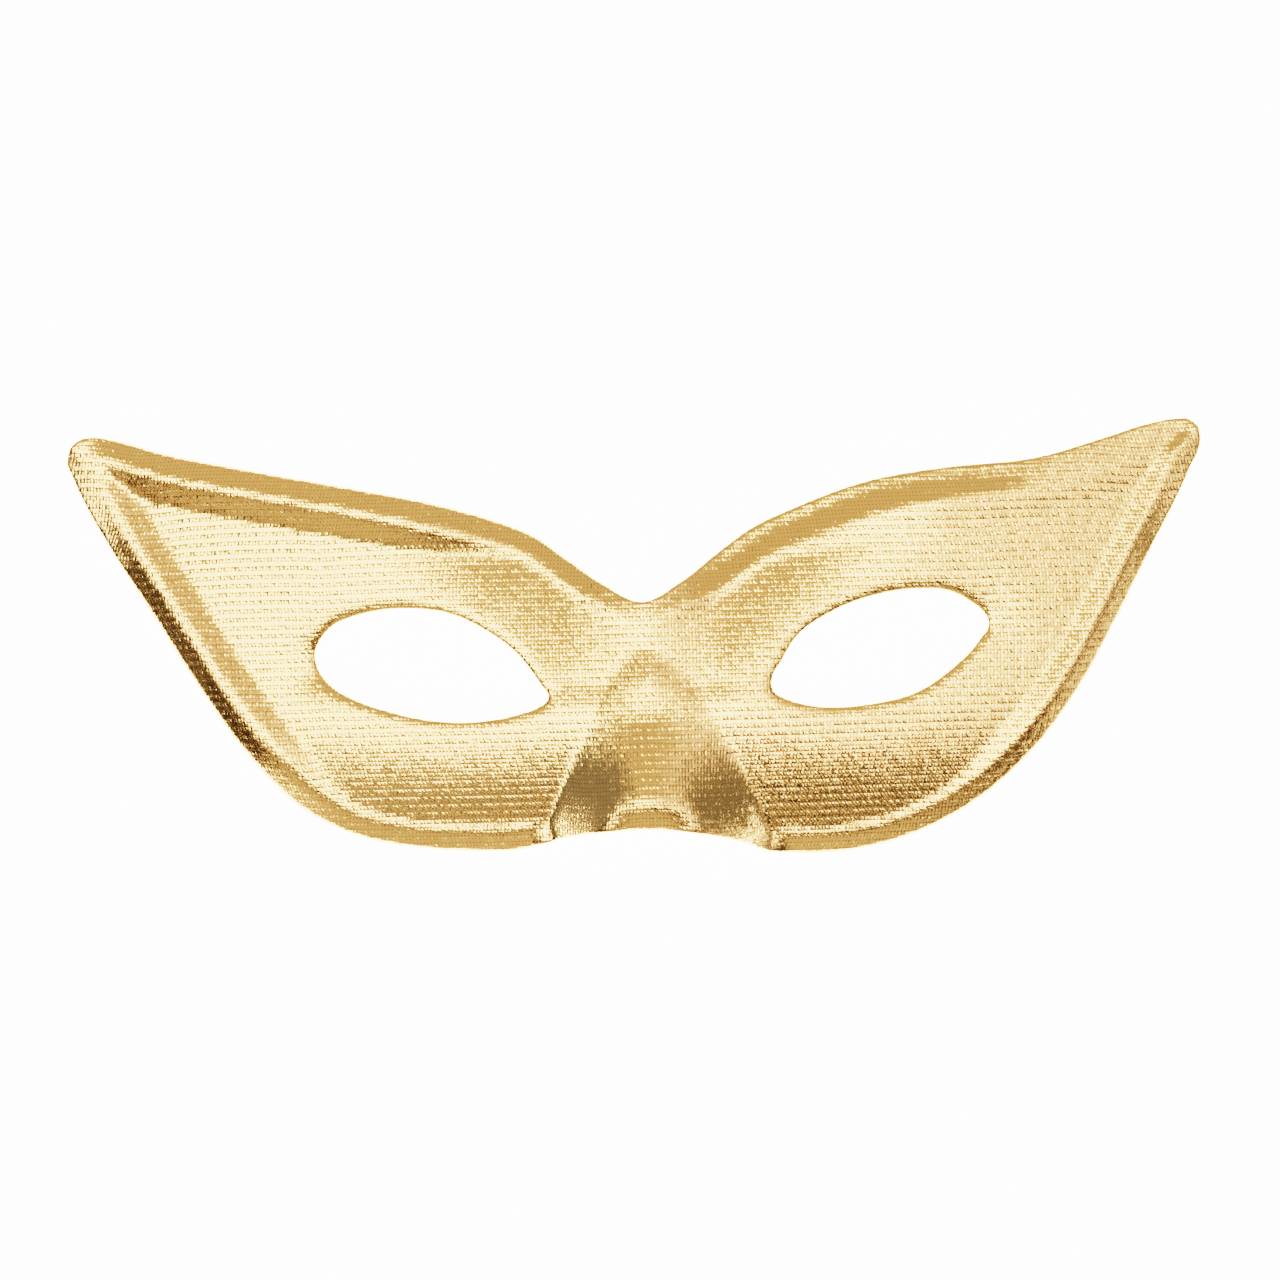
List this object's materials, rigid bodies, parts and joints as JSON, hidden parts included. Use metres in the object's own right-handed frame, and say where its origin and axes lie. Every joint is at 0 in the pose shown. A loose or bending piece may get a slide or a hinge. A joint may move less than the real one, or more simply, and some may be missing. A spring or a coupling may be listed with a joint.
{
  "type": "butterfly eye mask",
  "caption": "Winged half mask moulded as one stiff shell, with eye openings, a turned-back border, raised brow crests and a nose that opens downward.",
  "frame": {"origin": "under the middle of the mask, on the surface that it lies on with its face up", "axes": "+X across the mask to the viewer's right, +Y up the face towards the brow, +Z out of the face"},
  "size_m": [0.22, 0.084, 0.0223],
  "materials": {
    "gold_lame": "gold lame cloth stuck over a moulded shell, with a metallic gloss"
  },
  "bodies": {
    "root": {"mask_shell": "gold_lame"}
  },
  "joints": []
}
